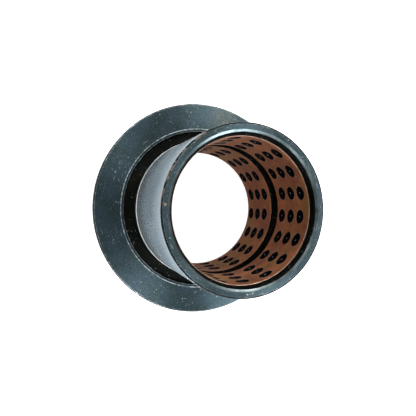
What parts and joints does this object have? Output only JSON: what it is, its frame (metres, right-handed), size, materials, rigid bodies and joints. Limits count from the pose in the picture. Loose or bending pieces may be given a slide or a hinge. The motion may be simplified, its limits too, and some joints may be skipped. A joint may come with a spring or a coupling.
{
  "type": "flanged pin bushing",
  "caption": "Flanged steel sleeve bushing lined with bronze rings that carry rows of solid-lubricant plugs, with a grease groove between the rings.",
  "frame": {"origin": "centre of the flange's back face, which the part stands on", "axes": "+Z along the bore axis, from the flange to the open end of the sleeve; +X and +Y are square to it"},
  "size_m": [0.158, 0.158, 0.099],
  "materials": {
    "black_oxide_steel": "blackened, with the outside ground bright",
    "liner_bronze": "bored copper-coloured bronze",
    "graphite": "pressed graphite with a slight gloss"
  },
  "bodies": {
    "root": {"flanged_steel_sleeve": "black_oxide_steel", "bronze_liner_open_end": "liner_bronze", "bronze_liner_flange_end": "liner_bronze", "lubricant_row_open_01": "graphite", "lubricant_row_open_02": "graphite", "lubricant_row_open_03": "graphite", "lubricant_row_open_04": "graphite", "lubricant_row_open_05": "graphite", "lubricant_row_open_06": "graphite", "lubricant_row_open_07": "graphite", "lubricant_row_open_08": "graphite", "lubricant_row_open_09": "graphite", "lubricant_row_open_10": "graphite", "lubricant_row_open_11": "graphite", "lubricant_row_open_12": "graphite", "lubricant_row_open_13": "graphite", "lubricant_row_open_14": "graphite", "lubricant_row_open_15": "graphite", "lubricant_row_open_16": "graphite", "lubricant_row_open_17": "graphite", "lubricant_row_open_18": "graphite", "lubricant_row_flange_01": "graphite", "lubricant_row_flange_02": "graphite", "lubricant_row_flange_03": "graphite", "lubricant_row_flange_04": "graphite", "lubricant_row_flange_05": "graphite", "lubricant_row_flange_06": "graphite", "lubricant_row_flange_07": "graphite", "lubricant_row_flange_08": "graphite", "lubricant_row_flange_09": "graphite", "lubricant_row_flange_10": "graphite", "lubricant_row_flange_11": "graphite", "lubricant_row_flange_12": "graphite", "lubricant_row_flange_13": "graphite", "lubricant_row_flange_14": "graphite", "lubricant_row_flange_15": "graphite", "lubricant_row_flange_16": "graphite", "lubricant_row_flange_17": "graphite", "lubricant_row_flange_18": "graphite"}
  },
  "joints": []
}
